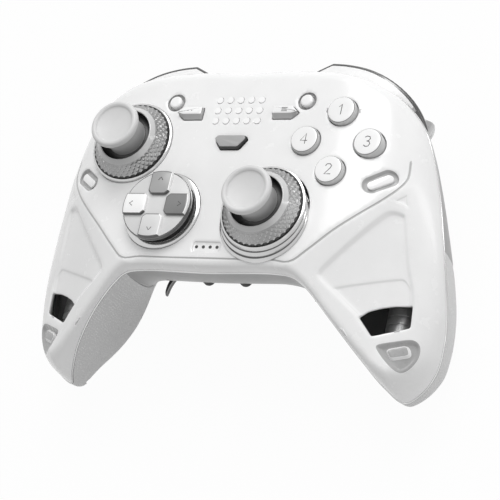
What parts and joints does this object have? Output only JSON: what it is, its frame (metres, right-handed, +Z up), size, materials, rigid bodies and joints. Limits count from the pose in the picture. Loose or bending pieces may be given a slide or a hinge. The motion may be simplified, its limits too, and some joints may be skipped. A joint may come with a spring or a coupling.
{
  "type": "game controller",
  "caption": "Handheld game controller with tilting thumb sticks in turning rings, direction disc, face buttons, bumpers, triggers, back paddles and vibration motors.",
  "frame": {"origin": "on the table under the middle of the controller's outline", "axes": "+X to the right hand seen from the front, +Y towards the shoulders, +Z up out of the face"},
  "size_m": [0.161, 0.1173, 0.0733],
  "materials": {
    "white": "gloss white moulding",
    "grey": "gloss grey moulding",
    "grip": "fine raised texture",
    "bright": "polished plating",
    "steel": "machined steel",
    "soft": "soft touch",
    "dark": "dark moulding",
    "smoke": "smoked pane",
    "clear": "frosted",
    "board": "lacquered board",
    "cell": "foil pouch"
  },
  "bodies": {
    "housing": {"front_shell": "white", "rear_shell": "grey", "trim_band": "bright", "left_grip_cover": "grip", "right_grip_cover": "grip", "left_window": "smoke", "right_window": "smoke", "side_lenses": "clear", "light_guide": "clear", "indicator_strip": "clear", "main_board": "board", "button_board": "board", "button_membrane": "soft", "battery": "cell", "usb_port": "steel", "housing_screws": "steel", "dock_pads": "dark", "left_stick_bezel": "bright", "right_stick_bezel": "bright", "left_stick_module": "dark", "right_stick_module": "dark", "dpad_base": "bright", "left_trigger_bracket": "bright", "right_trigger_bracket": "bright", "left_motor": "steel", "right_motor": "steel"},
    "left_ring": {"left_tension_ring": "steel"},
    "left_rocker": {"left_stick_rocker": "steel"},
    "left_pivot": {"left_stick_pivot": "white"},
    "left_stick": {"left_stick_lever": "steel", "left_stick_cap": "soft"},
    "right_ring": {"right_tension_ring": "steel"},
    "right_rocker": {"right_stick_rocker": "steel"},
    "right_pivot": {"right_stick_pivot": "white"},
    "right_stick": {"right_stick_lever": "steel", "right_stick_cap": "soft"},
    "dpad_cross": {"dpad_rocker": "steel"},
    "dpad": {"dpad_disc": "white", "dpad_up_pad": "white", "dpad_down_pad": "white", "dpad_left_pad": "white", "dpad_right_pad": "white"},
    "north": {"north_button": "white"},
    "south": {"south_button": "white"},
    "east": {"east_button": "white"},
    "west": {"west_button": "white"},
    "select": {"select_button": "white"},
    "start": {"start_button": "white"},
    "middle": {"middle_button": "dark"},
    "left_round": {"left_round_button": "white"},
    "right_round": {"right_round_button": "white"},
    "left_shoulder": {"left_bumper": "bright"},
    "left_pull": {"left_trigger": "white"},
    "left_lever": {"left_paddle": "bright"},
    "left_weight": {"left_motor_weight": "steel"},
    "right_shoulder": {"right_bumper": "bright"},
    "right_pull": {"right_trigger": "white"},
    "right_lever": {"right_paddle": "bright"},
    "right_weight": {"right_motor_weight": "steel"}
  },
  "joints": [
    {"name": "left_ring_turn", "type": "hinge", "parent": "housing", "child": "left_ring", "pos_m": [-0.0405, 0.0212, 0.0565], "axis": [0, 0, 1], "range_deg": [0, 90]},
    {"name": "left_stick_forward", "type": "hinge", "parent": "housing", "child": "left_rocker", "pos_m": [-0.0405, 0.0212, 0.0455], "axis": [1, 0, 0], "range_deg": [-6, 6], "stiffness_Nm_per_rad": 0.03},
    {"name": "left_stick_sideways", "type": "hinge", "parent": "left_rocker", "child": "left_pivot", "pos_m": [-0.0405, 0.0212, 0.0455], "axis": [0, 1, 0], "range_deg": [-6, 6], "stiffness_Nm_per_rad": 0.03},
    {"name": "left_stick_click", "type": "slide", "parent": "left_pivot", "child": "left_stick", "axis": [0, 0, -1], "range_m": [0, 0.0006], "stiffness_N_per_m": 1500, "springref_m": -0.0006},
    {"name": "right_ring_turn", "type": "hinge", "parent": "housing", "child": "right_ring", "pos_m": [0.02017, -0.00588, 0.0591], "axis": [0, 0, 1], "range_deg": [0, 90]},
    {"name": "right_stick_forward", "type": "hinge", "parent": "housing", "child": "right_rocker", "pos_m": [0.02017, -0.00588, 0.0481], "axis": [1, 0, 0], "range_deg": [-6, 6], "stiffness_Nm_per_rad": 0.03},
    {"name": "right_stick_sideways", "type": "hinge", "parent": "right_rocker", "child": "right_pivot", "pos_m": [0.02017, -0.00588, 0.0481], "axis": [0, 1, 0], "range_deg": [-6, 6], "stiffness_Nm_per_rad": 0.03},
    {"name": "right_stick_click", "type": "slide", "parent": "right_pivot", "child": "right_stick", "axis": [0, 0, -1], "range_m": [0, 0.0006], "stiffness_N_per_m": 1500, "springref_m": -0.0006},
    {"name": "dpad_forward", "type": "hinge", "parent": "housing", "child": "dpad_cross", "pos_m": [-0.021, -0.00616, 0.049], "axis": [1, 0, 0], "range_deg": [-4, 4], "stiffness_Nm_per_rad": 0.08},
    {"name": "dpad_sideways", "type": "hinge", "parent": "dpad_cross", "child": "dpad", "pos_m": [-0.021, -0.00616, 0.049], "axis": [0, 1, 0], "range_deg": [-4, 4], "stiffness_Nm_per_rad": 0.08},
    {"name": "north_press", "type": "slide", "parent": "housing", "child": "north", "axis": [0, 0, -1], "range_m": [0, 0.0014], "stiffness_N_per_m": 300, "springref_m": -0.0006},
    {"name": "south_press", "type": "slide", "parent": "housing", "child": "south", "axis": [0, 0, -1], "range_m": [0, 0.0014], "stiffness_N_per_m": 300, "springref_m": -0.0006},
    {"name": "east_press", "type": "slide", "parent": "housing", "child": "east", "axis": [0, 0, -1], "range_m": [0, 0.0014], "stiffness_N_per_m": 300, "springref_m": -0.0006},
    {"name": "west_press", "type": "slide", "parent": "housing", "child": "west", "axis": [0, 0, -1], "range_m": [0, 0.0014], "stiffness_N_per_m": 300, "springref_m": -0.0006},
    {"name": "select_press", "type": "slide", "parent": "housing", "child": "select", "axis": [0, 0, -1], "range_m": [0, 0.0007], "stiffness_N_per_m": 400, "springref_m": -0.0005},
    {"name": "start_press", "type": "slide", "parent": "housing", "child": "start", "axis": [0, 0, -1], "range_m": [0, 0.0007], "stiffness_N_per_m": 400, "springref_m": -0.0005},
    {"name": "middle_press", "type": "slide", "parent": "housing", "child": "middle", "axis": [0, 0, -1], "range_m": [0, 0.0007], "stiffness_N_per_m": 400, "springref_m": -0.0005},
    {"name": "left_round_press", "type": "slide", "parent": "housing", "child": "left_round", "axis": [0, 0, -1], "range_m": [0, 0.0007], "stiffness_N_per_m": 400, "springref_m": -0.0005},
    {"name": "right_round_press", "type": "slide", "parent": "housing", "child": "right_round", "axis": [0, 0, -1], "range_m": [0, 0.0007], "stiffness_N_per_m": 400, "springref_m": -0.0005},
    {"name": "left_bumper_press", "type": "hinge", "parent": "housing", "child": "left_shoulder", "pos_m": [-0.0215, 0.04734, 0.0415], "axis": [0, 0, 1], "range_deg": [0, 2.2], "stiffness_Nm_per_rad": 0.6, "springref_deg": -1.15},
    {"name": "left_trigger_pull", "type": "hinge", "parent": "housing", "child": "left_pull", "pos_m": [-0.047, 0.04194, 0.0325], "axis": [-0.9336, -0.3584, 0], "range_deg": [0, 15], "stiffness_Nm_per_rad": 0.06, "springref_deg": -5.73},
    {"name": "left_paddle_press", "type": "hinge", "parent": "housing", "child": "left_lever", "pos_m": [-0.0185, -0.00306, 0.0261], "axis": [-1, 0, 0], "range_deg": [0, 4.5], "stiffness_Nm_per_rad": 0.2, "springref_deg": -2.29},
    {"name": "left_weight_spin", "type": "hinge", "parent": "housing", "child": "left_weight", "pos_m": [-0.0652, -0.02216, 0.0245], "axis": [0, 1, 0], "continuous": true},
    {"name": "right_bumper_press", "type": "hinge", "parent": "housing", "child": "right_shoulder", "pos_m": [0.0215, 0.04734, 0.0415], "axis": [0, 0, -1], "range_deg": [0, 2.2], "stiffness_Nm_per_rad": 0.6, "springref_deg": -1.15},
    {"name": "right_trigger_pull", "type": "hinge", "parent": "housing", "child": "right_pull", "pos_m": [0.047, 0.04194, 0.0325], "axis": [-0.9336, 0.3584, 0], "range_deg": [0, 15], "stiffness_Nm_per_rad": 0.06, "springref_deg": -5.73},
    {"name": "right_paddle_press", "type": "hinge", "parent": "housing", "child": "right_lever", "pos_m": [0.0185, -0.00306, 0.0261], "axis": [-1, 0, 0], "range_deg": [0, 4.5], "stiffness_Nm_per_rad": 0.2, "springref_deg": -2.29},
    {"name": "right_weight_spin", "type": "hinge", "parent": "housing", "child": "right_weight", "pos_m": [0.0652, -0.02216, 0.0245], "axis": [0, 1, 0], "continuous": true}
  ]
}
